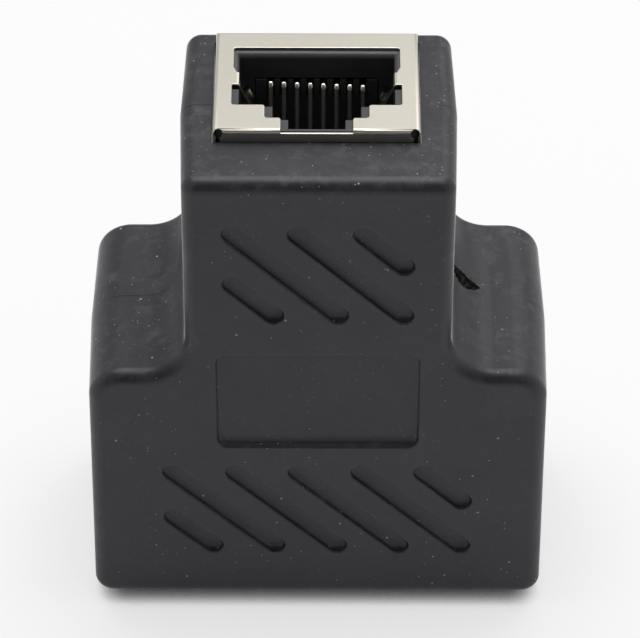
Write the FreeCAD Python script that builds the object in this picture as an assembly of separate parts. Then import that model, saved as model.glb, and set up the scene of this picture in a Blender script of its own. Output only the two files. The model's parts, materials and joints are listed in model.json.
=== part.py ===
"""One-to-two network splitter: a T-shaped moulding round three shielded eight-way jacks on one board.

Row frame, in millimetres: +Z up, +X to the right seen from the front, front face towards -Y.
The origin is on the resting plane, under the middle of the moulding. The part stands on the
faceplates of its two output jacks, and the input jack faces up.
"""
import FreeCAD, Part

import math
import os

# Plug space of one jack, heights measured from the board and widths from the jack's middle
plug_half_width = 5.93
plug_height = 6.4
plug_floor = 3.2
plug_depth = 12.7
latch_half_width = 3.35
latch_floor = 1.6
latch_slot_half_width = 2.15
latch_slot_floor = 0.5
latch_wall = 1.55
latch_room = 8.0

# Insulating housing round the plug space
housing_gap = 0.05
side_wall = 1.62
ceiling_wall = 2.25
bulkhead = 1.0
lip_depth = 2.3
lip_round = 0.45

# Contacts and the block that carries them
contact_count = 8
contact_pitch = 1.02
contact_width = 0.42
contact_sheet = 0.3
contact_rise = 0.85
contact_nose = 0.72
contact_drift = 0.05
contact_hairpin = 0.55
hairpin_flat_count = 4
contact_corner = 0.5
corner_flat_count = 1
contact_angle = 22.0
contact_spring = 11.5
tail_inset = 1.2
tail_stagger = 1.78
tail_protrusion = 1.2
block_side = 0.94
block_gap = 0.05
block_nose = 2.7
block_nose_slot = 1.9
block_rear = 4.0
channel_gap = 0.06

# Folded shield
shield_sheet = 0.2
shield_bend = 0.3
shield_proud = 1.1
shield_flap = 3.5
flap_seam = 0.3
corner_relief = 0.34
corner_relief_inset = 0.2
corner_relief_drop = 0.29
corner_relief_depth = 0.8
corner_relief_flat_count = 8
leg_width = 1.2
leg_setback = 11.55

# Faceplate cut-out and the spring fingers that touch the plug's sides
cutout_side_margin = 0.44
cutout_top_margin = 1.98
cutout_floor = 3.13
cutout_step_half_width = 3.95
cutout_step_floor = 1.57
cutout_latch_half_width = 2.73
cutout_corner = 0.2
cutout_flat_count = 2
finger_low = 5.6
finger_width = 1.5
finger_tab = 0.26
finger_notch = 0.1
finger_slope = 0.65
finger_lean = 25.0
finger_reach = 2.6
finger_return = 1.2
finger_bend = 0.2
finger_flat_count = 2
finger_clearance = 0.3

# Board
board_thickness = 1.6
board_overhang = 5.0
board_rim = 0.85
board_waist = 3.0
pin_hole_gap = 0.25
leg_slot_gap = 0.1

# Moulding
neck_wall = 2.765
base_wall = 2.27
back_wall = 1.76
front_wall = 2.11
shoulder_wall = 7.3
core_gap = 9.8
output_gap = 0.4
input_offset = -0.15
foot_flare = 0.22
neck_draft = 1.8
base_draft = 1.3
foot_corner = 1.5
shoulder_corner = 2.8
neck_root_fillet = 3.45
neck_corner_step = 0.1
edge_round = 1.1
mould_gap = 0.1
mould_seal = 0.04
solder_clearance = 0.1

# Grip slots and the bare label recess
slot_width = 1.6
slot_depth = 0.5
slot_pitch = 4.97
slot_run = 8.1
slot_end_flat_count = 6
upper_slot_count = 2
upper_slot_drop = 9.04
lower_slot_count = 4
lower_slot_rise = 9.74
label_width = 15.8
label_height = 9.8
label_corner = 0.9
label_depth = 0.5
label_drop = 2.67

# Tear in the moulding, in the right-hand neck root beside the parting line
tear_radius = 2.1
tear_half_width = 3.3
tear_depth = 0.6
tear_place = 40.0
tear_turn = 4.0
tear_setback = 0.85

# Sizes that follow
plug_ceiling = plug_floor + plug_height
contact_run = plug_ceiling + contact_rise
inner_half = plug_half_width + side_wall + housing_gap
jack_width = 2 * (inner_half + shield_sheet)
jack_height = plug_ceiling + ceiling_wall + housing_gap + shield_sheet
block_back = housing_gap + shield_sheet
jack_depth = plug_depth + bulkhead + block_gap + block_rear + block_back
tail_row = jack_depth - block_back - block_rear + tail_inset
block_half_width = (contact_count - 1) * contact_pitch / 2 + contact_width / 2 + block_side
cutout_half_width = plug_half_width + cutout_side_margin
tab_half = cutout_half_width - finger_tab
finger_turn = math.radians(90 - finger_lean)
finger_root = tab_half - finger_bend * math.tan(finger_turn / 2)
overall_height = 2 * jack_depth + core_gap
foot_z = shield_proud
neck_top_z = overall_height - shield_proud
shoulder_z = jack_depth + shoulder_wall
neck_half = jack_width / 2 + neck_wall
output_x = (jack_width + output_gap) / 2
base_half = output_x + jack_width / 2 + base_wall
board_inset = front_wall + solder_clearance + tail_protrusion + board_thickness
body_depth = board_inset + jack_height + back_wall
half_depth = body_depth / 2
front_y = -half_depth
board_y = front_y + board_inset
neck_corner = edge_round + neck_corner_step
JACK_NAMES = ("input", "left_output", "right_output")


def block(u, v, w):
    """Box between three (low, high) pairs."""
    corner = FreeCAD.Vector(u[0], v[0], w[0])
    return Part.makeBox(u[1] - u[0], v[1] - v[0], w[1] - w[0], corner)


def both_sides(shape):
    """The shape and its mirror image across the jack's middle plane."""
    middle = FreeCAD.Vector(0, 0, 0)
    return [shape, shape.mirror(middle, FreeCAD.Vector(1, 0, 0))]


def prism(points, direction):
    """Straight prism on a closed polygon."""
    loop = [FreeCAD.Vector(*p) for p in points]
    return Part.Face(Part.makePolygon(loop + loop[:1])).extrude(FreeCAD.Vector(*direction))


def round_edges(shape, radius, wanted):
    """Fillets every edge that the test picks out."""
    return shape.makeFillet(radius, [e for e in shape.Edges if wanted(e)])


def runs_along(edge, axis):
    """True for a straight edge along one axis, 0 to 2."""
    if len(edge.Vertexes) < 2 or edge.Curve.TypeId != "Part::GeomLine":
        return False
    return abs(abs(tuple(edge.tangentAt(edge.FirstParameter))[axis]) - 1) < 1e-6


def bend(before, corner, after, radius, flats):
    """Points of a bend in the XY plane, from tangent to tangent; a bend of no radius is its corner."""
    if radius == 0:
        return [corner]
    heading = (corner - before).normalize()
    onward = (after - corner).normalize()
    turn = heading.getAngle(onward)
    sense = math.copysign(1, heading.cross(onward).z)
    start = corner - heading * (radius * math.tan(turn / 2))
    spoke = FreeCAD.Vector(heading.y, -heading.x, 0) * (sense * radius)
    axis = FreeCAD.Vector(0, 0, sense)
    steps = [math.degrees(turn) * k / flats for k in range(flats + 1)]
    return [start - spoke + FreeCAD.Rotation(axis, step).multVec(spoke) for step in steps]


def bent_strip(points, bends, thickness):
    """Face of a strip that follows a bent centre line in the XY plane.

    bends holds the centre-line radius and the count of flats at each inner point.
    """
    path = [FreeCAD.Vector(x, y, 0) for x, y in points]
    line = path[:1]
    for i, (radius, flats) in enumerate(bends):
        line += bend(path[i], path[i + 1], path[i + 2], radius, flats)
    line.append(path[-1])
    headings = [(b - a).normalize() for a, b in zip(line, line[1:])]
    left = [FreeCAD.Vector(-h.y, h.x, 0) for h in headings]
    mitres = [(a + b) / (1 + a.dot(b)) for a, b in zip(left[:1] + left, left + left[-1:])]
    inner = [p + m * (thickness / 2) for p, m in zip(line, mitres)]
    outer = [p - m * (thickness / 2) for p, m in zip(line, mitres)]
    return Part.Face(Part.makePolygon(inner + outer[::-1] + inner[:1]))


# Jack, drawn with u across, v up from the board and w out of the mouth, the faceplate at w = 0

def faceplate_cutout():
    """Stepped plug cut-out with the finger tabs left in, its latch part open through the lower bend."""
    top = jack_height - cutout_top_margin
    right = [
        (cutout_latch_half_width, -shield_sheet, 0),
        (cutout_latch_half_width, cutout_step_floor, cutout_corner),
        (cutout_step_half_width, cutout_step_floor, cutout_corner),
        (cutout_step_half_width, cutout_floor, cutout_corner),
        (cutout_half_width + finger_notch, cutout_floor, cutout_corner),
        (cutout_half_width + finger_notch, finger_low, finger_notch),
        (tab_half, finger_low, 0),
        (tab_half, finger_low + finger_width, 0),
        (cutout_half_width, finger_low + finger_width + finger_slope, 0),
        (cutout_half_width, top, cutout_corner),
    ]
    corners = right + [(-u, v, radius) for u, v, radius in reversed(right)]
    path = [FreeCAD.Vector(u, v, -shield_bend) for u, v, _ in corners]
    outline = []
    for before, corner, after, (_, _, radius) in zip(path[-1:] + path, path, path[1:] + path[:1], corners):
        outline += bend(before, corner, after, radius, cutout_flat_count)
    return prism(outline, (0, 0, 2 * shield_bend))


def spring_finger():
    """Right-hand finger, cut from the faceplate and bent into the plug space."""
    mid_sheet = -shield_sheet / 2
    lean = math.radians(finger_lean)
    inner = (finger_root - finger_reach * math.sin(lean), mid_sheet - finger_reach * math.cos(lean))
    tip = (inner[0] + finger_return * math.sin(lean), inner[1] - finger_return * math.cos(lean))
    path = [(cutout_half_width, mid_sheet), (finger_root, mid_sheet), inner, tip]
    face = bent_strip(path, 2 * [(finger_bend, finger_flat_count)], shield_sheet)
    standing = face.rotated(FreeCAD.Vector(0, 0, 0), FreeCAD.Vector(1, 0, 0), 90)
    strip = standing.extrude(FreeCAD.Vector(0, finger_width, 0))
    return strip.translated(FreeCAD.Vector(0, finger_low, 0))


def corner_hole():
    """Right-hand relief hole where three sheets meet, drilled at 45 degrees through the lower bend."""
    u = inner_half - corner_relief_inset
    v, w = corner_relief_depth, -corner_relief_depth - corner_relief_drop
    points = []
    for k in range(corner_relief_flat_count):
        angle = 2 * math.pi * k / corner_relief_flat_count
        slant = corner_relief * math.sin(angle) / math.sqrt(2)
        points.append((u + corner_relief * math.cos(angle), v + slant, w + slant))
    return prism(points, (0, -2 * corner_relief_depth, 2 * corner_relief_depth))


def jack_shield():
    """Folded sheet shell: faceplate, top, sides, rear panel, front flap, two board legs."""
    outer_half = jack_width / 2
    outer = block((-outer_half, outer_half), (0, jack_height), (-jack_depth, 0))

    def is_bend(edge):
        return edge.BoundBox.ZMin > -1e-6

    outer = round_edges(outer, shield_bend, is_bend)
    across = (-inner_half, inner_half)
    back = shield_sheet - jack_depth
    inside = block(across, (shield_sheet, jack_height - shield_sheet), (back, -shield_sheet))
    lower_sheet = (-shield_sheet, 2 * shield_sheet)
    board_side = block(across, lower_sheet, (back, -shield_flap))
    seam_run = (-shield_flap - shield_sheet, -shield_bend)
    seam = block((inner_half - flap_seam, inner_half), lower_sheet, seam_run)
    cuts = [inside, board_side, faceplate_cutout()] + both_sides(seam) + both_sides(corner_hole())
    shell = outer.cut(cuts)
    leg_length = board_thickness + tail_protrusion
    leg = block(
        (inner_half, outer_half), (-leg_length, shield_sheet),
        (-leg_setback - leg_width / 2, -leg_setback + leg_width / 2),
    )
    return shell.fuse(both_sides(leg) + both_sides(spring_finger())).removeSplitter()


def jack_housing():
    """Moulded insulator with the plug space, the latch catch and the bay for the contact block."""
    half = inner_half - housing_gap
    front = -shield_sheet - housing_gap
    rear = shield_sheet + housing_gap - jack_depth
    top = jack_height - shield_sheet - housing_gap
    body = block((-half, half), (0, top), (rear, front))
    plug = (-plug_half_width, plug_half_width)
    latch = (-latch_half_width, latch_half_width)
    latch_slot = (-latch_slot_half_width, latch_slot_half_width)
    bay = (-block_half_width - block_gap, block_half_width + block_gap)
    flap_space = shield_sheet + housing_gap
    spaces = [
        block((-inner_half, inner_half), (-flap_space, flap_space), (-shield_flap - housing_gap, 0)),
        block(plug, (plug_floor, plug_ceiling), (-plug_depth, 0)),
        block(latch, (latch_floor, plug_floor), (-plug_depth, 0)),
        block(latch_slot, (latch_slot_floor, latch_floor), (-latch_room, 0)),
        block(latch, (latch_slot_floor, latch_floor), (-latch_room, front - latch_wall)),
        block(bay, (plug_ceiling, jack_height), (-jack_depth, front - lip_depth)),
        block(bay, (-board_thickness, jack_height), (-jack_depth, rear + block_rear + block_gap)),
    ]
    finger_pocket = block(
        (0, finger_root + shield_sheet + finger_clearance),
        (finger_low - finger_clearance, finger_low + finger_width + finger_clearance),
        (-finger_reach - finger_return - finger_clearance, 0),
    )
    body = body.cut(spaces + both_sides(finger_pocket))

    def is_lip(edge):
        box = edge.BoundBox
        above_fingers = box.YMin > finger_low and box.YMax < plug_ceiling + 1e-6
        return above_fingers and box.ZMin > front - 1e-6

    return round_edges(body, lip_round, is_lip)


def contact_positions():
    """Middle of each contact across the jack, and the setback of its tail."""
    first = -(contact_count - 1) * contact_pitch / 2
    return [(first + i * contact_pitch, tail_row + (i % 2) * tail_stagger) for i in range(contact_count)]


def nose_setback(u):
    """Setback of a contact's hairpin corner: the row of noses stands slightly askew."""
    return contact_nose + contact_drift * (u / contact_pitch + (contact_count - 1) / 2)


def contact_block():
    """L-shaped carrier: grooved on top, with a comb at its nose and two windows for the rows of tails."""
    top = jack_height - shield_sheet - housing_gap - block_gap
    rear = shield_sheet + housing_gap - jack_depth
    across = (-block_half_width, block_half_width)
    upper_leg = block(across, (plug_ceiling, top), (rear, -block_nose))
    rear_leg = block(across, (0, top), (rear, rear + block_rear))
    half = contact_width / 2 + channel_gap
    half_sheet = contact_sheet / 2 + channel_gap
    corner = contact_corner + half_sheet
    places = contact_positions()
    cuts = []
    for u, setback in places:
        side = (u - half, u + half)
        cuts.append(block(side, (contact_run - contact_sheet / 2, jack_height), (-setback - half_sheet, 0)))
        cuts.append(block(side, (plug_floor, jack_height), (-block_nose - block_nose_slot, 0)))
    for row in sorted({setback for _, setback in places}):
        row_u = [u for u, setback in places if setback == row]
        window = (min(row_u) - half, max(row_u) + half)
        behind = -row - half_sheet
        cuts.append(block(window, (-board_thickness, jack_height), (behind, -row + half_sheet)))
        cuts.append(block(window, (contact_run - corner, jack_height), (behind, -row + corner)))
    return upper_leg.fuse(rear_leg).removeSplitter().cut(cuts)


def contact(u, setback):
    """One stamped contact: board tail, run along the block, hairpin at the comb and free spring."""
    angle = math.radians(contact_angle)
    nose = (-nose_setback(u), contact_run)
    tip = (nose[0] - contact_spring * math.cos(angle), nose[1] - contact_spring * math.sin(angle))
    path = [(-setback, -board_thickness - tail_protrusion), (-setback, contact_run), nose, tip]
    bends = [(contact_corner, corner_flat_count), (contact_hairpin, hairpin_flat_count)]
    face = bent_strip(path, bends, contact_sheet)
    upright = face.rotated(FreeCAD.Vector(0, 0, 0), FreeCAD.Vector(0, 1, 0), -90)
    side = upright.translated(FreeCAD.Vector(u + contact_width / 2, 0, 0))
    return side.extrude(FreeCAD.Vector(-contact_width, 0, 0))


def jack_pieces():
    """Every piece of one jack, by name."""
    pieces = {"shield": jack_shield(), "housing": jack_housing(), "contact_block": contact_block()}
    for i, (u, setback) in enumerate(contact_positions()):
        pieces[f"contact_{i + 1}"] = contact(u, setback)
    return pieces


def seat(shape, jack):
    """Moves a shape from the jack's frame to its place: the input faces up, the outputs face down."""
    if jack == "input":
        return shape.translated(FreeCAD.Vector(input_offset, board_y, overall_height))
    turned = shape.rotated(FreeCAD.Vector(0, 0, 0), FreeCAD.Vector(0, 1, 0), 180)
    side = -1 if jack == "left_output" else 1
    return turned.translated(FreeCAD.Vector(side * output_x, board_y, 0))


# Board

def board_outline():
    """T-shaped outline (x, z), wide enough for the outermost leg slots."""
    base = output_x + jack_width / 2 + board_rim
    neck = jack_width / 2 + board_rim
    waist = jack_depth + board_waist
    top = overall_height - board_overhang
    right = [(base, board_overhang), (base, waist), (neck, waist), (neck, top)]
    return right + [(-x, z) for x, z in reversed(right)]


def board_slab():
    """Board with no holes, also the space that it takes in the moulding."""
    points = [(x, board_y - board_thickness, z) for x, z in board_outline()]
    return prism(points, (0, board_thickness, 0))


def board_hole(u, setback, width, length):
    """Square-cornered hole through the board, in the jack's frame."""
    return block(
        (u - width / 2, u + width / 2), (-2 * board_thickness, board_thickness),
        (-setback - length / 2, -setback + length / 2),
    )


def circuit_board():
    """Board with the pin holes and leg slots of the three jacks."""
    pin_hole = (contact_width + 2 * pin_hole_gap, contact_sheet + 2 * pin_hole_gap)
    leg_slot = (shield_sheet + 2 * leg_slot_gap, leg_width + 2 * leg_slot_gap)
    holes = [board_hole(u, setback, *pin_hole) for u, setback in contact_positions()]
    holes += both_sides(board_hole(inner_half + shield_sheet / 2, leg_setback, *leg_slot))
    return board_slab().cut([seat(hole, jack) for jack in JACK_NAMES for hole in holes])


# Moulding

def t_outline():
    """Corners (x, z, radius, draft) of the moulding at its parting plane, without its roundings."""
    right = [
        (base_half + foot_flare, foot_z, foot_corner, base_draft),
        (base_half, shoulder_z, shoulder_corner, base_draft),
        (neck_half, shoulder_z, neck_root_fillet, neck_draft),
        (neck_half, neck_top_z, neck_corner, neck_draft),
    ]
    return right + [(-x, z, radius, draft) for x, z, radius, draft in reversed(right)]


def drafted_half():
    """Front half of the moulding: sides that draw in from the parting plane, all edges rounded."""
    corners = t_outline()
    near = [FreeCAD.Vector(x, 0, z) for x, z, _, _ in corners]
    far = []
    for x, z, _, draft in corners:
        draw_in = half_depth * math.tan(math.radians(draft))
        far.append(FreeCAD.Vector(x - math.copysign(draw_in, x), front_y, z))
    loops = [near[::-1], far]
    for i, j in zip(range(-1, len(near) - 1), range(len(near))):
        loops.append([near[i], near[j], far[j], far[i]])
    shell = Part.makeShell([Part.Face(Part.makePolygon(loop + loop[:1])) for loop in loops])
    shell.sewShape()
    half = Part.makeSolid(shell)
    for radius in sorted({corner[2] for corner in corners}):
        ends = [(n, f) for n, f, corner in zip(near, far, corners) if corner[2] == radius]

        def is_corner(edge):
            if len(edge.Vertexes) < 2:
                return False
            first, last = sorted((v.Point for v in edge.Vertexes), key=lambda point: -point.y)
            return any((first - n).Length + (last - f).Length < 1e-4 for n, f in ends)

        half = round_edges(half, radius, is_corner)

    def on_front(edge):
        return all(abs(vertex.Y - front_y) < 1e-4 for vertex in edge.Vertexes)

    return round_edges(half, edge_round, on_front)


def slot_lines(count, middle_z):
    """Ends (x, z) of the 45-degree slots in one grip field, the outer ones cut short by its sides."""
    half_field = ((count - 1) * slot_pitch + slot_run) / 2
    top = middle_z + slot_run / 2
    lines = []
    for k in range(-1, count + 1):
        start = -half_field + k * slot_pitch
        x0, x1 = max(start, -half_field), min(start + slot_run, half_field)
        lines.append(((x0, top - (x0 - start)), (x1, top - (x1 - start))))
    return lines


def slot_tool(line, face_y):
    """Round-ended slot of the slot's depth, cut from one face."""
    (x0, z0), (x1, z1) = line
    radius = slot_width / 2
    heading = math.atan2(z1 - z0, x1 - x0)
    outline = []
    for x, z, outwards in ((x1, z1, heading), (x0, z0, heading + math.pi)):
        for k in range(slot_end_flat_count + 1):
            angle = outwards + math.pi * (k / slot_end_flat_count - 0.5)
            outline.append((x + radius * math.cos(angle), face_y - slot_depth, z + radius * math.sin(angle)))
    return prism(outline, (0, 2 * slot_depth, 0))


def grip_slots():
    """Both grip fields, on the front and on the back."""
    fields = [
        (upper_slot_count, neck_top_z - upper_slot_drop),
        (lower_slot_count, foot_z + lower_slot_rise),
    ]
    return [
        slot_tool(line, face_y)
        for face_y in (front_y, -front_y)
        for count, middle_z in fields
        for line in slot_lines(count, middle_z)
    ]


def label_recess():
    """Bare recess with rounded corners, in the front only."""
    middle_z = shoulder_z - label_drop
    tool = block(
        (-label_width / 2, label_width / 2), (front_y - label_depth, front_y + label_depth),
        (middle_z - label_height / 2, middle_z + label_height / 2),
    )
    return round_edges(tool, label_corner, lambda edge: runs_along(edge, 1))


def moulding_tear():
    """Leaf-shaped gash in the right-hand neck root: the rim of a double cone, sunk into the fillet."""
    place = math.radians(tear_place)
    inwards = FreeCAD.Vector(-math.cos(place), 0, -math.sin(place))
    fillet_centre = FreeCAD.Vector(neck_half + neck_root_fillet, tear_setback, shoulder_z + neck_root_fillet)
    centre = fillet_centre + inwards * (neck_root_fillet + tear_depth - tear_radius)
    cones = [
        Part.makeCone(tear_radius, 0, tear_half_width, centre, FreeCAD.Vector(0, side, 0)) for side in (-1, 1)
    ]
    return cones[0].fuse(cones[1]).rotated(centre, inwards, tear_turn)


def jack_pocket():
    """Space that the moulding leaves for one jack, in the jack's frame."""
    half = jack_width / 2 + mould_gap
    return block((-half, half), (-mould_seal, jack_height + mould_seal), (-jack_depth, 2 * shield_proud))


def solder_pocket():
    """Space in front of the board for the tails and legs of one jack, in the jack's frame."""
    half = jack_width / 2 + solder_clearance
    far = -board_thickness - tail_protrusion - solder_clearance
    rear = tail_row + tail_stagger + contact_sheet + solder_clearance
    front = leg_setback - leg_width / 2 - solder_clearance
    return block((-half, half), (far, -board_thickness / 2), (-rear, -front))


def moulded_body():
    """The whole moulding: two drafted halves, grip slots, label recess, and room for what it holds."""
    front = drafted_half()
    back = front.mirror(FreeCAD.Vector(0, 0, 0), FreeCAD.Vector(0, 1, 0))
    spaces = [board_slab(), label_recess(), moulding_tear()] + grip_slots()
    for jack in JACK_NAMES:
        spaces += [seat(jack_pocket(), jack), seat(solder_pocket(), jack)]
    return front.fuse(back).cut(spaces)


def main():
    os.makedirs("parts", exist_ok=True)
    pieces = {"moulded_body": moulded_body(), "circuit_board": circuit_board()}
    for jack in JACK_NAMES:
        for name, shape in jack_pieces().items():
            pieces[f"{jack}_{name}"] = seat(shape, jack)
    for name, shape in pieces.items():
        print(f"{name}: {len(shape.Solids)} solid, {shape.Volume:.2f} mm3, valid {shape.isValid()}")
        shape.exportStep(f"parts/{name}.step")


main()
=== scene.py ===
# %% [markdown]
# # One-to-two network splitter
# A soft charcoal moulding in the shape of a T holds three shielded eight-way jacks: one faces up, two face
# down and carry the part. The solids come in as a fixed frame. This lesson dresses them: it rounds the edges
# that a mould rounds, draws the contact springs as bent strip, and gives every surface a finish of nodes.

# %% Load the frame
import json
import math

import bmesh
import bpy
from mathutils import Matrix, Vector, noise

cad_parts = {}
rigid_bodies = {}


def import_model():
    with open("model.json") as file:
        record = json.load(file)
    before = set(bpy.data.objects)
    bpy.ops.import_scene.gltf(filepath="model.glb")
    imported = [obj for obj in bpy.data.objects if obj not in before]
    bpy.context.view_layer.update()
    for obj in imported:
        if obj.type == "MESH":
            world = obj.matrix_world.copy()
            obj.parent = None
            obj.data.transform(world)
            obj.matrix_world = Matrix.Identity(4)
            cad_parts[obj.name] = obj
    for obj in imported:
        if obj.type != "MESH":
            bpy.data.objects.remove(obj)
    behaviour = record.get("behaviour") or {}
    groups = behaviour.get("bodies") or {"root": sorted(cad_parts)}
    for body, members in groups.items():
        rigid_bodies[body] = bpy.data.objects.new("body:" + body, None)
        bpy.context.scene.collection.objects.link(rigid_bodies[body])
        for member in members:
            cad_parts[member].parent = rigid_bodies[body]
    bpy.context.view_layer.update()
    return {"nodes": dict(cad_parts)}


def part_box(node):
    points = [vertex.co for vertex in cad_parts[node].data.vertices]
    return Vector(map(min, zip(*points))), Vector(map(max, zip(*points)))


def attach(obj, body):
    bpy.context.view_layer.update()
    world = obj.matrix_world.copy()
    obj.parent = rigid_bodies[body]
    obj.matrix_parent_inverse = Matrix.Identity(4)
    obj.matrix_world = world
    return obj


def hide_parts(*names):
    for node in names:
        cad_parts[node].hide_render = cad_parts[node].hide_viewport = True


MM = 0.001
JACKS = ("input", "left_output", "right_output")
CONTACTS = range(1, 9)


def in_mm(lengths):
    return [round(c / MM, 2) for c in lengths]


for leftover in list(bpy.data.objects):
    bpy.data.objects.remove(leftover)

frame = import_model()
nodes = frame["nodes"]

# %% [markdown]
# ## Camera
# The picture is taken from in front and well above, through a long lens, so the neck narrows only a little.
# The place, the tilt and the lens were fitted to the corners of the object once, and are written here as
# plain numbers. A long lens far away keeps the upright edges almost parallel, as they are in the picture.

# %% Camera
LENS = 220.57
CAMERA_PLACE = Vector((-0.098, -232.96, 231.46)) * MM
PAN = -0.061
TILT = 48.16
ROLL = 0.2027


def turn(degrees, axis):
    return Matrix.Rotation(math.radians(degrees), 4, axis)


lens_data = bpy.data.cameras.new("studio_camera")
lens_data.lens = LENS
lens_data.sensor_width = 36.0
lens_data.clip_start = 0.01
lens_data.clip_end = 20.0
camera = bpy.data.objects.new("studio_camera", lens_data)
bpy.context.scene.collection.objects.link(camera)
camera.matrix_world = Matrix.Translation(CAMERA_PLACE) @ turn(PAN, "Z") @ turn(TILT, "X") @ turn(ROLL, "Z")
bpy.context.scene.camera = camera
print("camera at", in_mm(camera.location), "mm, lens", lens_data.lens)

# %% [markdown]
# ## Finishes
# A finish is a small graph of nodes. Each one starts from the same shader, and noise in the object's own
# coordinates breaks up its colour, its gloss and its surface. Object coordinates are metres here, so a
# noise scale of 1000 gives grains of about a millimetre, whatever the piece.

# %% A bench for building finishes
RANGE_SOCKETS = ("From Min", "From Max", "To Min", "To Max")


class Finish:
    """One material with its shader, and short ways to add nodes to it."""

    def __init__(self, name):
        self.material = bpy.data.materials.new(name)
        self.material.use_nodes = True
        self.tree = self.material.node_tree
        self.shader = self.tree.nodes["Principled BSDF"]
        self.place = self.add("ShaderNodeTexCoord").outputs["Object"]

    def add(self, kind, **settings):
        node = self.tree.nodes.new(kind)
        for key, value in settings.items():
            setattr(node, key, value)
        return node

    def join(self, start, end):
        self.tree.links.new(start, end)

    def feed(self, socket, value):
        """Lets a node's output drive one socket of the shader."""
        self.join(value, self.shader.inputs[socket])

    def set(self, **values):
        """Plain values on sockets of the shader."""
        for key, value in values.items():
            self.shader.inputs[key.replace("_", " ")].default_value = value

    def noise(self, scale, detail=3.0, roughness=0.55, swirl=0.0):
        node = self.add("ShaderNodeTexNoise")
        node.inputs["Scale"].default_value = scale
        node.inputs["Detail"].default_value = detail
        node.inputs["Roughness"].default_value = roughness
        node.inputs["Distortion"].default_value = swirl
        self.join(self.place, node.inputs["Vector"])
        return node.outputs["Fac"]

    def remap(self, value, low, high, to_low, to_high, shape="LINEAR"):
        node = self.add("ShaderNodeMapRange", interpolation_type=shape)
        for key, number in zip(RANGE_SOCKETS, (low, high, to_low, to_high)):
            node.inputs[key].default_value = number
        self.join(value, node.inputs["Value"])
        return node.outputs["Result"]

    def blend(self, amount, first, second):
        node = self.add("ShaderNodeMix", data_type="RGBA")
        self.join(amount, node.inputs["Factor"])
        for socket, colour in ((node.inputs["A"], first), (node.inputs["B"], second)):
            if isinstance(colour, tuple):
                socket.default_value = (*colour, 1.0)
            else:
                self.join(colour, socket)
        return node.outputs["Result"]

    def math(self, kind, first, second):
        node = self.add("ShaderNodeMath", operation=kind)
        for socket, value in zip(node.inputs, (first, second)):
            if isinstance(value, (int, float)):
                socket.default_value = value
            else:
                self.join(value, socket)
        return node.outputs["Value"]

    def component(self, vector, axis):
        """One of the three numbers of a vector."""
        node = self.add("ShaderNodeSeparateXYZ")
        self.join(vector, node.inputs["Vector"])
        return node.outputs[axis]

    def facing(self, axis):
        """How far the surface faces along an axis, from -1 to 1."""
        return self.component(self.add("ShaderNodeNewGeometry").outputs["Normal"], axis)

    def openness(self, distance):
        """Share of the sky that nothing closer than the distance hides from the surface."""
        node = self.add("ShaderNodeAmbientOcclusion", samples=8)
        node.inputs["Distance"].default_value = distance
        return node.outputs["AO"]

    def bump(self, height, depth, strength):
        node = self.add("ShaderNodeBump")
        node.inputs["Distance"].default_value = depth
        node.inputs["Strength"].default_value = strength
        self.join(height, node.inputs["Height"])
        self.feed("Normal", node.outputs["Normal"])


print("ways to work on a finish:", [way for way in vars(Finish) if not way.startswith("_")])

# %% [markdown]
# ### Charcoal moulding
# The shell is a soft charcoal plastic, moulded over the jacks. It is nearly black and a little cool. A pale
# film has settled on what faces up. It could be painted on a map, but noise needs no map and has no seams: a
# fine noise tears the film into wisps, a broader one gathers them in smears, and the surface normal keeps
# most of it off the walls.

# %% Charcoal plastic and its film
moulding = Finish("charcoal_moulding")
cloud = moulding.remap(moulding.noise(260.0, 4.0), 0.3, 0.7, 0.0, 1.0)
plastic = moulding.blend(cloud, (0.0150, 0.0145, 0.0205), (0.0200, 0.0195, 0.0260))
settled = moulding.remap(moulding.facing("Z"), 0.1, 0.9, 0.2, 1.0)
wisps = moulding.remap(moulding.noise(900.0, 7.0, 0.72, 0.5), 0.46, 0.78, 0.0, 1.0)
smears = moulding.remap(moulding.noise(330.0, 3.0, 0.6, 0.8), 0.44, 0.62, 0.25, 1.0)
film = moulding.math("MULTIPLY", wisps, moulding.math("MULTIPLY", smears, settled))
hazy = moulding.blend(film, plastic, (0.082, 0.081, 0.079))
print("plastic and film:", len(moulding.tree.nodes), "nodes")

# %% [markdown]
# ### Parting line
# The two halves of the mould meet in the plane y = 0 and leave a hair-thin dark line there, which comes and
# goes. A groove that fine would cost many faces, so the distance from the plane draws it as colour.

# %% Parting line
LINE_CORE = 0.02 * MM
LINE_EDGE = 0.06 * MM
from_parting = moulding.math("ABSOLUTE", moulding.component(moulding.place, "Y"), 0.0)
hairline = moulding.remap(from_parting, LINE_CORE, LINE_EDGE, 1.0, 0.0)
broken = moulding.remap(moulding.noise(240.0, 2.0), 0.44, 0.56, 0.0, 1.0)
parting = moulding.math("MULTIPLY", hairline, broken)
marked = moulding.blend(parting, hazy, (0.006, 0.006, 0.007))
moulding.feed("Specular IOR Level", moulding.remap(parting, 0.0, 1.0, 0.5, 0.2))
print("parting line:", in_mm([2 * LINE_EDGE]), "mm wide")

# %% [markdown]
# ### Dust
# Dust sticks to soft plastic. Specks could be small meshes, but thousands of them are lighter as colour. A
# cell texture gives the distance to its nearest seed, and only very small distances are kept, so specks of
# many sizes appear where the surface happens to cut close to a seed. Dust gathers in patches, so a broad
# noise decides how many of the cells keep their fine speck.

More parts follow.
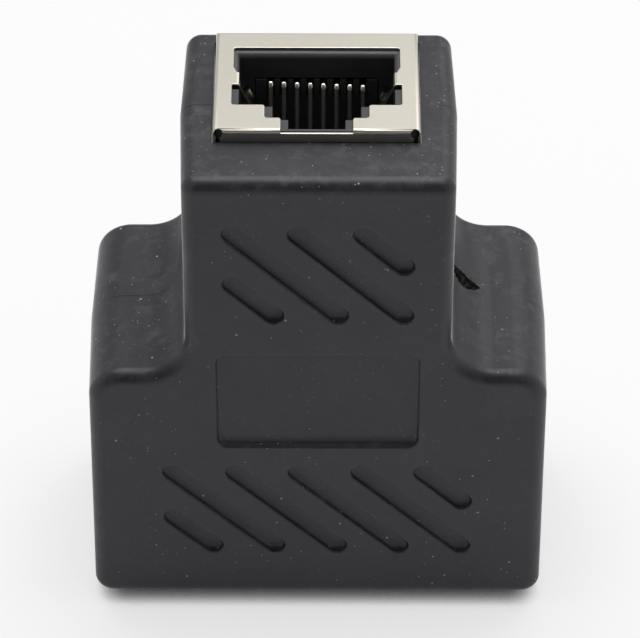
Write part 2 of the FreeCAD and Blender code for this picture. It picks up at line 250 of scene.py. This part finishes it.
# %% Dust
def dust(finish, cell, reach, share):
    """Specks of up to the given reach, in some of the cells of the given size, both in millimetres."""
    seeds = finish.add("ShaderNodeTexVoronoi", feature="F1", voronoi_dimensions="3D")
    seeds.inputs["Scale"].default_value = 1.0 / (cell * MM)
    finish.join(finish.place, seeds.inputs["Vector"])
    near = finish.remap(seeds.outputs["Distance"], reach / cell, 0.55 * reach / cell, 0.0, 1.0)
    pick = finish.add("ShaderNodeSeparateColor")
    finish.join(seeds.outputs["Color"], pick.inputs["Color"])
    chosen = finish.math("LESS_THAN", pick.outputs["Red"], share)
    weight = finish.remap(pick.outputs["Green"], 0.0, 1.0, 0.15, 1.0)
    return finish.math("MULTIPLY", near, finish.math("MULTIPLY", chosen, weight))


patches = moulding.remap(moulding.noise(130.0, 2.0), 0.42, 0.66, 0.10, 0.85)
fine_dust = dust(moulding, 0.45, 0.052, patches)
coarse_dust = dust(moulding, 1.7, 0.10, 0.8)
specks = moulding.math("MAXIMUM", fine_dust, coarse_dust)
moulding.feed("Base Color", moulding.blend(specks, marked, (0.55, 0.55, 0.54)))
print("with dust:", len(moulding.tree.nodes), "nodes")

# %% [markdown]
# ### Gloss and grain of the moulding
# The plastic has a dull gloss that shows best where a surface turns away, so a tight sheen is added to the
# usual reflection. The bump is three noises: the grain of the mould, broad ripples, and slow sink marks.

# %% Gloss and grain of the moulding
moulding.feed("Roughness", moulding.remap(moulding.noise(900.0, 5.0), 0.3, 0.7, 0.40, 0.50))
ripples = moulding.math("MULTIPLY", moulding.noise(700.0, 3.0), 1.5)
sink_marks = moulding.math("MULTIPLY", moulding.noise(110.0, 1.0), 45.0)
grain = moulding.math("ADD", moulding.noise(5200.0, 2.0), moulding.math("ADD", ripples, sink_marks))
moulding.bump(grain, 0.02 * MM, 0.25)
moulding.set(IOR=1.46, Sheen_Weight=0.8, Sheen_Roughness=0.2)
print("charcoal moulding:", len(moulding.tree.nodes), "nodes")

# %% [markdown]
# ### Nickel shield
# The shields are folded from thin sheet plated with satin nickel: warm, pale and very even. Only broad,
# faint patches of tone and a fine grain in the gloss keep it from looking like paper. Plugs rub the spring
# fingers bright. They could be given a second finish, but they face sideways and the faceplate doesn't, so
# the normal is enough to tighten the gloss there.

# %% Nickel shield
nickel = Finish("satin_nickel")
tone = nickel.remap(nickel.noise(190.0, 2.0), 0.3, 0.7, 0.0, 1.0)
nickel.feed("Base Color", nickel.blend(tone, (0.617, 0.583, 0.514), (0.630, 0.604, 0.531)))
satin = nickel.noise(9000.0, 2.0)
satin_gloss = nickel.remap(satin, 0.3, 0.7, 0.34, 0.41)
sideways = nickel.math("ABSOLUTE", nickel.facing("X"), 0.0)
rubbed = nickel.remap(sideways, 0.5, 0.8, 1.0, 0.35)
nickel.feed("Roughness", nickel.math("MULTIPLY", satin_gloss, rubbed))
nickel.bump(satin, 0.002 * MM, 0.2)
nickel.set(Metallic=1.0)
print("satin nickel:", len(nickel.tree.nodes), "nodes")

# %% [markdown]
# ### Black insulator
# The housings and the contact carriers are a hard black plastic, smoother than the shell and free of dust.
# One even black would look like a hole in the deep mouth, so a broad noise shifts the tone a little, and a
# finer one the gloss.

# %% Black insulator
insulator = Finish("black_insulator")
shade = insulator.remap(insulator.noise(500.0, 3.0), 0.3, 0.7, 0.0, 1.0)
insulator.feed("Base Color", insulator.blend(shade, (0.042, 0.042, 0.047), (0.052, 0.052, 0.057)))
insulator.feed("Roughness", insulator.remap(insulator.noise(1800.0, 3.0), 0.3, 0.7, 0.34, 0.44))
insulator.bump(insulator.noise(4000.0, 2.0), 0.01 * MM, 0.2)
insulator.set(IOR=1.5)
print("black insulator:", len(insulator.tree.nodes), "nodes")

# %% [markdown]
# ### Gold contacts
# The springs are bronze with a thin flash of pale gold. Each could have its own tint, but strips this thin
# don't show it, so one finish mixes worn and fresh gold. A tight gloss makes each fold a bright point.

# %% Gold contacts
gold = Finish("gold_flash")
worn = gold.remap(gold.noise(1500.0, 3.0), 0.35, 0.65, 0.0, 1.0)
gold.feed("Base Color", gold.blend(worn, (0.80, 0.755, 0.65), (0.88, 0.85, 0.79)))
gold.feed("Roughness", gold.remap(gold.noise(3000.0, 2.0), 0.3, 0.7, 0.11, 0.21))
gold.set(Metallic=1.0)
print("gold flash:", len(gold.tree.nodes), "nodes")

# %% [markdown]
# ### Board
# The board is sealed inside the shell. It still gets its green mask with the faint pattern of its weave. A
# glass cloth is regular, so a wave texture draws it better than noise.

# %% Board
mask = Finish("green_mask")
weave = mask.add("ShaderNodeTexWave", wave_type="BANDS", bands_direction="X")
weave.inputs["Scale"].default_value = 900.0
weave.inputs["Distortion"].default_value = 1.5
mask.join(mask.place, weave.inputs["Vector"])
mask.feed("Base Color", mask.blend(weave.outputs["Fac"], (0.010, 0.075, 0.030), (0.014, 0.095, 0.040)))
mask.feed("Roughness", mask.remap(mask.noise(1200.0), 0.3, 0.7, 0.28, 0.38))
print("green mask:", len(mask.tree.nodes), "nodes")

# %% [markdown]
# ## Moulded shell
# A mould can't make a sharp edge, and a soft plastic shrinks a little as it cools, so the rims of the slots
# and of the panel are soft. The solid has these edges sharp. A copy of the solid is cleaned here: points
# that lie together are merged, triangles in one plane become one face, and the rims are then rounded by a
# bevel. The copy keeps every size of the solid and stands in its place.

# %% Tools for a clean copy of a solid
SAME_POINT = 0.002 * MM


def clean_mesh(node):
    """Copy of a solid with merged points and one face for each flat."""
    bm = bmesh.new()
    bm.from_mesh(node.data)
    bmesh.ops.remove_doubles(bm, verts=bm.verts, dist=SAME_POINT)
    bmesh.ops.dissolve_limit(bm, angle_limit=math.radians(0.3), verts=bm.verts, edges=bm.edges)
    return bm


def bend_angle(edge):
    """Angle in degrees between the two faces of an edge, 0 where there aren't two."""
    return math.degrees(edge.calc_face_angle(0.0)) if len(edge.link_faces) == 2 else 0.0


def round_off(bm, edges, radius, segments):
    bmesh.ops.bevel(
        bm, geom=edges, offset=radius, offset_type="OFFSET", segments=segments, profile=0.5,
        affect="EDGES", clamp_overlap=False, loop_slide=True,
    )


shell_low, shell_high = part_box("moulded_body")
print("shell from", in_mm(shell_low), "to", in_mm(shell_high))

# %% Round the rims of the slots and the panel
RECESS_DEPTH = 0.5 * MM
FLOOR_ROUND = 0.34 * MM
RIM_ROUND = 0.16 * MM
MOUTH_ROUND = 0.06 * MM
bm = clean_mesh(nodes["moulded_body"])


def sharp_edges_at(bm, axis, level):
    """Edges of more than 40 degrees that lie in one plane across an axis."""
    return [
        e for e in bm.edges
        if bend_angle(e) > 40 and all(abs(v.co[axis] - level) < SAME_POINT for v in e.verts)
    ]


for face_y, inwards in ((shell_low.y, 1), (shell_high.y, -1)):
    floor_edges = sharp_edges_at(bm, 1, face_y + inwards * RECESS_DEPTH)
    round_off(bm, floor_edges, FLOOR_ROUND, 5)
    rim_edges = sharp_edges_at(bm, 1, face_y)
    round_off(bm, rim_edges, RIM_ROUND, 3)
    print("rounded", len(floor_edges), "floor edges and", len(rim_edges), "rim edges")

mouth_rims = sharp_edges_at(bm, 2, shell_low.z) + sharp_edges_at(bm, 2, shell_high.z)
round_off(bm, mouth_rims, MOUTH_ROUND, 2)
print("mouth rims:", len(mouth_rims))

# %% [markdown]
# ### Torn root
# The right-hand root of the neck has a gash. Soft plastic tears with a rough rim, and its raw inside is
# duller than the moulded skin; its near-black colour is painted shade for the hollow of the gash. The faces
# of the gash are the ones that lie deeper than the fillet of the root. Their rim is cut into short pieces
# and pushed to and fro along the fillet, so it stays on the surface.

# %% Raw plastic, near black as painted shade of the gash
raw_with_painted_shade = Finish("raw_plastic_painted_shade")
strands = raw_with_painted_shade.remap(raw_with_painted_shade.noise(2600.0, 4.0), 0.45, 0.75, 0.0, 1.0)
# The near-black colour paints the shade in the hollow of the gash; the paler noise gives strands of torn
# plastic.
raw_with_painted_shade.feed("Base Color", raw_with_painted_shade.blend(strands, (0.002, 0.002, 0.002), (0.050, 0.050, 0.052)))
raw_with_painted_shade.bump(raw_with_painted_shade.noise(3500.0, 3.0), 0.08 * MM, 0.8)
raw_with_painted_shade.set(Roughness=0.8, Specular_IOR_Level=0.1)
print("raw plastic:", len(raw_with_painted_shade.tree.nodes), "nodes")

# %% Find the gash
ROOT_FILLET = 3.45 * MM
ROOT_AXIS = Vector((14.015, 0.0, 28.75)) * MM
GASH_HALF_WIDTH = 2.5 * MM
GASH_SKIN = 0.05 * MM


def in_gash(face):
    """True for a face that lies deeper than the fillet of the right-hand neck root."""
    away = face.calc_center_median() - ROOT_AXIS
    in_corner = -ROOT_FILLET < away.x < 0 and -ROOT_FILLET < away.z < 0
    deep = math.hypot(away.x, away.z) > ROOT_FILLET + GASH_SKIN
    return in_corner and deep and abs(away.y) < GASH_HALF_WIDTH


gash = {face for face in bm.faces if in_gash(face)}
gash_reach = [v.co.y for face in gash for v in face.verts]
print("faces in the gash:", len(gash), "from y", in_mm([min(gash_reach)]), "to", in_mm([max(gash_reach)]))

# %% Ragged rim of the gash
RAGGED = 0.22 * MM
RAGGED_SCALE = 4200.0


def cut_around_gash(level):
    """Cut through the faces round the gash, so that a moved rim point pulls only a narrow strip."""
    around = {f for face in gash for v in face.verts for f in v.link_faces} - gash
    edges = {e for f in around for e in f.edges}
    points = {v for f in around for v in f.verts}
    bmesh.ops.bisect_plane(
        bm, geom=[*points, *edges, *around], dist=1e-6, plane_co=(0, level, 0), plane_no=(0, 1, 0)
    )


def gash_rim():
    return [e for e in bm.edges if len(gash.intersection(e.link_faces)) == 1]


cut_around_gash(min(gash_reach) - RAGGED)
cut_around_gash(max(gash_reach) + RAGGED)
bmesh.ops.bisect_edges(bm, edges=gash_rim(), cuts=3)
rim_points = {v for e in gash_rim() for v in e.verts}
for point in rim_points:
    point.co.y += RAGGED * noise.noise(point.co * RAGGED_SCALE)
# The faces of the gash get the raw plastic with its painted shade.
for face in gash:
    face.material_index = 1
print("points on the rim of the gash:", len(rim_points))

# %% Shell in place of its solid
def smooth_by_angle(bm, limit):
    """Smooth faces, with a crease kept where two faces meet at more than the limit."""
    for face in bm.faces:
        face.smooth = True
    for edge in bm.edges:
        edge.smooth = bend_angle(edge) < limit


def new_piece(name, bm, finish, replaced):
    """Object that stands for the given solids and rides with them."""
    mesh = bpy.data.meshes.new(name)
    bm.to_mesh(mesh)
    bm.free()
    piece = bpy.data.objects.new(name, mesh)
    bpy.context.scene.collection.objects.link(piece)
    mesh.materials.append(finish.material)
    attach(piece, "root")
    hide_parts(*replaced)
    evenly = piece.modifiers.new("even_normals", "WEIGHTED_NORMAL")
    evenly.keep_sharp = True
    return piece


smooth_by_angle(bm, 34.0)
shell = new_piece("moulded_shell", bm, moulding, ["moulded_body"])
shell.data.materials.append(raw_with_painted_shade.material)
print("shell faces:", len(shell.data.polygons))

# %% [markdown]
# ## Jacks
# The shields, the housings and the carriers already have their real shape, so the solids stay and only get
# their finish, with a very small bevel on every edge: a sheet that is stamped and plated never has a knife
# edge, and that thin rounding is what draws the bright line round the cut-out. It could be cut into a copy,
# as on the shell, but a modifier is shorter and leaves the solid as it is.

# %% Finish the solids of the jacks
SHIELD_ROUND = 0.045 * MM
HOUSING_ROUND = 0.06 * MM
CARRIER_ROUND = 0.08 * MM


def soften(node, width):
    """Tiny rounding on the edges of a solid, made by modifiers only."""
    weld = node.modifiers.new("join_points", "WELD")
    weld.merge_threshold = SAME_POINT
    bevel = node.modifiers.new("soft_edges", "BEVEL")
    bevel.width = width
    bevel.segments = 2
    bevel.limit_method = "ANGLE"
    bevel.angle_limit = math.radians(35)
    bevel.use_clamp_overlap = False
    normals = node.modifiers.new("even_normals", "WEIGHTED_NORMAL")
    normals.keep_sharp = True


def dress(node, finish):
    node.data.materials.clear()
    node.data.materials.append(finish.material)


for jack in JACKS:
    for kind, finish, width in (
        ("shield", nickel, SHIELD_ROUND),
        ("housing", insulator, HOUSING_ROUND),
        ("contact_block", insulator, CARRIER_ROUND),
    ):
        dress(nodes[f"{jack}_{kind}"], finish)
        soften(nodes[f"{jack}_{kind}"], width)
dress(nodes["circuit_board"], mask)
print("dressed", len(JACKS), "jacks and the board")

# %% [markdown]
# ## Contact springs
# Each contact is one stamped strip. It stands in the board, turns over the carrier, runs forward, folds back
# on itself at the comb and ends as a free spring that leans into the plug space. The solids draw the bends
# as a few flats. Here the same strip follows true arcs. Its tail, its run and its nose are read from the box
# of the solid, so the strip lands on it, and only the bends and the spring need their own sizes.

# %% Centre line of a contact spring
SHEET = 0.3 * MM
TAIL_BEND = 0.5 * MM
HAIRPIN = 0.55 * MM
SPRING_LEAN = 22.0
SPRING_LENGTH = 8.67 * MM


def arc(centre, radius, start, end, steps):
    """Points (forward, up) along an arc, its angles in degrees."""
    turns = [math.radians(start + (end - start) * k / steps) for k in range(steps + 1)]
    return [Vector((centre[0] + radius * math.cos(t), centre[1] + radius * math.sin(t))) for t in turns]


def spring_path(tail, foot, run, nose):
    """Centre line (forward, up) of one contact, from its board tail to the end of its spring."""
    hairpin_middle = (nose - SHEET / 2 - HAIRPIN, run - HAIRPIN)
    line = [Vector((tail, foot))]
    line += arc((tail + TAIL_BEND, run - TAIL_BEND), TAIL_BEND, 180, 90, 6)
    line += arc(hairpin_middle, HAIRPIN, 90, SPRING_LEAN - 90, 16)
    lean = math.radians(SPRING_LEAN)
    return line + [line[-1] - SPRING_LENGTH * Vector((math.cos(lean), math.sin(lean)))]


print("hairpin", in_mm([2 * HAIRPIN]), "mm across, spring", in_mm([SPRING_LENGTH]), "mm long")

# %% Contact springs
STRIP_ROUND = 0.13 * MM


def add_strip(bm, line, left, right, to_world):
    """Strip of the sheet's thickness along a centre line, between two sides."""
    rings = []
    for i, point in enumerate(line):
        heading = (line[min(i + 1, len(line) - 1)] - line[max(i - 1, 0)]).normalized()
        offset = Vector((-heading.y, heading.x)) * (SHEET / 2)
        upper = point + offset
        lower = point - offset
        section = [(left, upper), (right, upper), (right, lower), (left, lower)]
        rings.append([bm.verts.new(to_world(x, p)) for x, p in section])
    for ring, onward in zip(rings, rings[1:]):
        for k in range(4):
            bm.faces.new((ring[k], ring[k - 1], onward[k - 1], onward[k]))
    bm.faces.new(rings[0])
    bm.faces.new(rings[-1][::-1])


for jack in JACKS:
    outwards = 1 if jack == "input" else -1
    names = [f"{jack}_contact_{number}" for number in CONTACTS]
    bm = bmesh.new()
    for name in names:
        low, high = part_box(name)
        tail, nose = sorted((outwards * low.z, outwards * high.z))
        path = spring_path(tail + SHEET / 2, low.y, high.y - SHEET / 2, nose)
        add_strip(bm, path, low.x, high.x, lambda x, p: Vector((x, p.y, outwards * p.x)))
    bmesh.ops.recalc_face_normals(bm, faces=bm.faces)
    round_off(bm, [e for e in bm.edges if bend_angle(e) > 60], STRIP_ROUND, 3)
    smooth_by_angle(bm, 50.0)
    springs = new_piece(f"{jack}_springs", bm, gold, names)
    print(springs.name, "faces:", len(springs.data.polygons))

# %% [markdown]
# ## Paper floor
# The part stands on one large sheet of white paper. What the lens and a polished face see of it is mostly
# its own white, so the sheet stays bright without more light on the part. That white fades where something
# stands over the paper, in two shadows: a short reach draws the tight, dark one under the foot, and a longer
# reach the soft one round it. All other light meets the paper as a plain diffuse sheet.

# %% Paper
FOOT_REACH = 1.9 * MM
SOFT_REACH = 12.0 * MM
paper = Finish("white_paper")
seen = paper.add("ShaderNodeLightPath")
in_view = paper.math("MAXIMUM", seen.outputs["Is Camera Ray"], seen.outputs["Is Glossy Ray"])
sheet = paper.blend(paper.noise(40.0), (0.84, 0.84, 0.835), (0.86, 0.86, 0.855))
lit_sheet = paper.add("ShaderNodeBsdfDiffuse")
paper.join(paper.blend(in_view, sheet, (0.2, 0.2, 0.2)), lit_sheet.inputs["Color"])
foot_shadow = paper.remap(paper.openness(FOOT_REACH), 0.37, 0.82, 0.0, 1.0, "SMOOTHSTEP")
hidden = paper.math("SUBTRACT", 1.0, paper.openness(SOFT_REACH))
loss = paper.remap(seen.outputs["Is Glossy Ray"], 0.0, 1.0, 0.14, 0.66)
soft_shadow = paper.math("SUBTRACT", 0.74, paper.math("MULTIPLY", hidden, loss))
shadows = paper.math("MULTIPLY", foot_shadow, soft_shadow)
white = paper.add("ShaderNodeEmission")
paper.join(paper.math("MULTIPLY", in_view, shadows), white.inputs["Strength"])
together = paper.add("ShaderNodeAddShader")
paper.join(lit_sheet.outputs["BSDF"], together.inputs[0])
paper.join(white.outputs["Emission"], together.inputs[1])
paper.join(together.outputs["Shader"], paper.tree.nodes["Material Output"].inputs["Surface"])
print("white paper:", len(paper.tree.nodes), "nodes")

# %% Floor, a hair below the faceplates so that no two faces share a plane
HALF = 1.5
LEVEL = -0.02 * MM
floor_mesh = bpy.data.meshes.new("paper_floor")
corners = [(x, y, LEVEL) for x, y in ((-HALF, -HALF), (HALF, -HALF), (HALF, HALF), (-HALF, HALF))]
floor_mesh.from_pydata(corners, [], [(0, 1, 2, 3)])
floor_mesh.materials.append(paper.material)
floor = bpy.data.objects.new("paper_floor", floor_mesh)
bpy.context.scene.collection.objects.link(floor)
print("floor", 2 * HALF, "m wide")

# %% [markdown]
# ## Light
# The part stands in a light tent. The tent is the world: it is brightest behind the part and darkest on the
# side of the camera, so a rounded edge that faces the lens shows a dark band. White sides light the edges
# that turn away, the right one more than the left. A broad panel above and a little behind gives the top
# faces their grey, and a small one behind on the right lifts the right shoulder.

# %% Light tent
scene = bpy.context.scene
scene.view_settings.view_transform = "Standard"
tent = bpy.data.worlds.new("light_tent")
scene.world = tent
tent.use_nodes = True
tree = tent.node_tree
background = tree.nodes["Background"]
towards = tree.nodes.new("ShaderNodeSeparateXYZ")
tree.links.new(tree.nodes.new("ShaderNodeTexCoord").outputs["Generated"], towards.inputs["Vector"])


def tent_step(axis, low, high, to_low, to_high):
    """Light that changes smoothly between two values along an axis."""
    node = tree.nodes.new("ShaderNodeMapRange")
    node.interpolation_type = "SMOOTHSTEP"
    for key, number in zip(RANGE_SOCKETS, (low, high, to_low, to_high)):
        node.inputs[key].default_value = number
    tree.links.new(towards.outputs[axis], node.inputs["Value"])
    return node.outputs["Result"]


strength = tent_step("Y", -0.75, 0.15, 0.075, 0.52)
for side_from, side_to, extra in ((0.35, 0.95, 0.42), (-0.35, -0.95, 0.24)):
    both = tree.nodes.new("ShaderNodeMath")
    tree.links.new(strength, both.inputs[0])
    tree.links.new(tent_step("X", side_from, side_to, 0.0, extra), both.inputs[1])
    strength = both.outputs["Value"]
tree.links.new(strength, background.inputs["Strength"])
background.inputs["Color"].default_value = (1.0, 0.995, 0.99, 1.0)
print("light tent:", len(tree.nodes), "nodes")

# %% Panels
MIDDLE = Vector((0.0, 0.0, 0.025))


def panel(name, place, size, power):
    """Soft lamp that looks at the middle of the part."""
    data = bpy.data.lights.new(name, "AREA")
    data.shape = "RECTANGLE"
    data.size, data.size_y = size
    data.energy = power
    lamp = bpy.data.objects.new(name, data)
    scene.collection.objects.link(lamp)
    lamp.location = place
    lamp.rotation_euler = (MIDDLE - Vector(place)).to_track_quat("-Z", "Y").to_euler()


panel("overhead_panel", (0.0, 0.12, 0.55), (0.5, 0.4), 2.4)
panel("rear_panel", (0.10, 0.16, 0.18), (0.12, 0.12), 0.06)

# %% [markdown]
# ## Size
# The dressed part has to stay the size of the solids.
